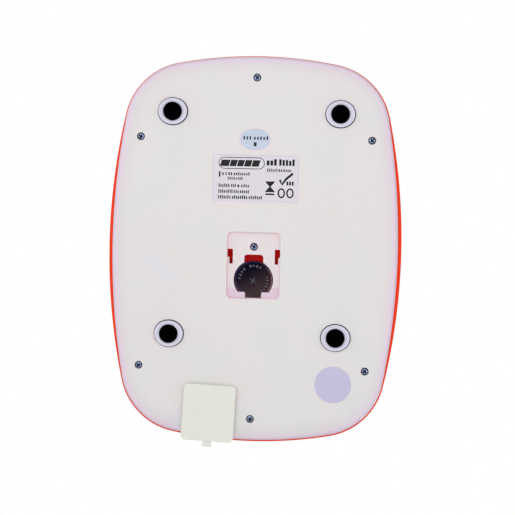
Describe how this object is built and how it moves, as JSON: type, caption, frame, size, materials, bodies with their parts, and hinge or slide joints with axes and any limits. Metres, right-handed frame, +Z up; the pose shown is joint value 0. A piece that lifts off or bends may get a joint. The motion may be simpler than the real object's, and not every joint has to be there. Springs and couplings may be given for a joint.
{
  "type": "digital scale",
  "caption": "Slim rounded-rectangle battery scale with sprung load-cell feet, display, buttons and a coin-cell pocket whose cover is off.",
  "frame": {"origin": "middle of the assembly's footprint, loose cover included, on the ground under the rubber pads", "axes": "+Z up, -Y the front edge with the display, +X the user's right"},
  "size_m": [0.1538, 0.2046, 0.0179],
  "materials": {
    "orange_plastic": "glossy moulded orange-red plastic, faint flow texture",
    "base_plastic": "off-white satin moulded plastic",
    "cover_plastic": "off-white satin plastic, slightly brighter and greener than the base",
    "foot_plastic": "cool off-white satin plastic",
    "rubber": "matt black rubber",
    "screw_steel": "zinc-plated steel with a blue tinge",
    "cell_steel": "bright stainless can, lightly brushed",
    "contact_steel": "nickel-plated spring steel",
    "load_cell_steel": "stamped steel",
    "window": "smoked clear plastic",
    "display_glass": "grey-green reflective display glass",
    "dark_plastic": "black moulded plastic",
    "elastomer": "pink striped elastomer",
    "circuit_board": "green solder-masked board",
    "chip": "black potting",
    "button_plastic": "white satin plastic",
    "oval_paper": "pale blue printed film",
    "label_paper": "off-white printed film with a faint lilac cast",
    "round_paper": "plain lavender film",
    "white_lead": "white insulation",
    "red_lead": "red insulation",
    "black_lead": "black insulation"
  },
  "bodies": {
    "casing": {"top_shell": "orange_plastic", "base_cover": "base_plastic", "battery_tray": "base_plastic", "casing_screw_rear": "screw_steel", "casing_screw_front": "screw_steel", "casing_screw_rear_left": "screw_steel", "casing_screw_rear_right": "screw_steel", "casing_screw_front_left": "screw_steel", "casing_screw_front_right": "screw_steel", "pocket_screw": "screw_steel", "board_screw_left": "screw_steel", "board_screw_right": "screw_steel", "load_cell_front_left": "load_cell_steel", "load_cell_front_right": "load_cell_steel", "load_cell_rear_left": "load_cell_steel", "load_cell_rear_right": "load_cell_steel", "positive_contact": "contact_steel", "negative_contact": "contact_steel", "display_window": "window", "lcd_panel": "display_glass", "lcd_frame": "dark_plastic", "zero_switch": "dark_plastic", "unit_switch": "dark_plastic", "connector_strip": "elastomer", "circuit_board": "circuit_board", "controller_chip": "chip", "inspection_sticker": "oval_paper", "rating_label": "label_paper", "round_sticker": "round_paper", "load_cell_lead_front_left": "white_lead", "load_cell_lead_front_right": "white_lead", "load_cell_lead_rear_left": "white_lead", "load_cell_lead_rear_right": "white_lead", "positive_lead": "red_lead", "negative_lead": "black_lead"},
    "foot_front_left": {"foot_cup_front_left": "foot_plastic", "rubber_pad_front_left": "rubber"},
    "foot_front_right": {"foot_cup_front_right": "foot_plastic", "rubber_pad_front_right": "rubber"},
    "foot_rear_left": {"foot_cup_rear_left": "foot_plastic", "rubber_pad_rear_left": "rubber"},
    "foot_rear_right": {"foot_cup_rear_right": "foot_plastic", "rubber_pad_rear_right": "rubber"},
    "zero_key": {"zero_button": "button_plastic"},
    "unit_key": {"unit_button": "button_plastic"},
    "loose_cover": {"battery_cover": "cover_plastic"},
    "cell": {"coin_cell": "cell_steel"}
  },
  "joints": [
    {"name": "foot_front_left_press", "type": "slide", "parent": "casing", "child": "foot_front_left", "axis": [0, 0, 1], "range_m": [0, 0.0005], "stiffness_N_per_m": 2000, "springref_m": -0.0005},
    {"name": "foot_front_right_press", "type": "slide", "parent": "casing", "child": "foot_front_right", "axis": [0, 0, 1], "range_m": [0, 0.0005], "stiffness_N_per_m": 2000, "springref_m": -0.0005},
    {"name": "foot_rear_left_press", "type": "slide", "parent": "casing", "child": "foot_rear_left", "axis": [0, 0, 1], "range_m": [0, 0.0005], "stiffness_N_per_m": 2000, "springref_m": -0.0005},
    {"name": "foot_rear_right_press", "type": "slide", "parent": "casing", "child": "foot_rear_right", "axis": [0, 0, 1], "range_m": [0, 0.0005], "stiffness_N_per_m": 2000, "springref_m": -0.0005},
    {"name": "zero_button_press", "type": "slide", "parent": "casing", "child": "zero_key", "axis": [0, 0, -1], "range_m": [0, 0.0005], "stiffness_N_per_m": 3000, "springref_m": -0.0003},
    {"name": "unit_button_press", "type": "slide", "parent": "casing", "child": "unit_key", "axis": [0, 0, -1], "range_m": [0, 0.0005], "stiffness_N_per_m": 3000, "springref_m": -0.0003},
    {"name": "battery_cover_slide", "type": "slide", "parent": "casing", "child": "loose_cover", "axis": [0.2652, -0.9642, 0], "range_m": [-0.0816, 0]},
    {"name": "coin_cell_tilt", "type": "hinge", "parent": "casing", "child": "cell", "pos_m": [0, -0.021, 0.0097], "axis": [-1, 0, 0], "range_deg": [0, 14]}
  ]
}
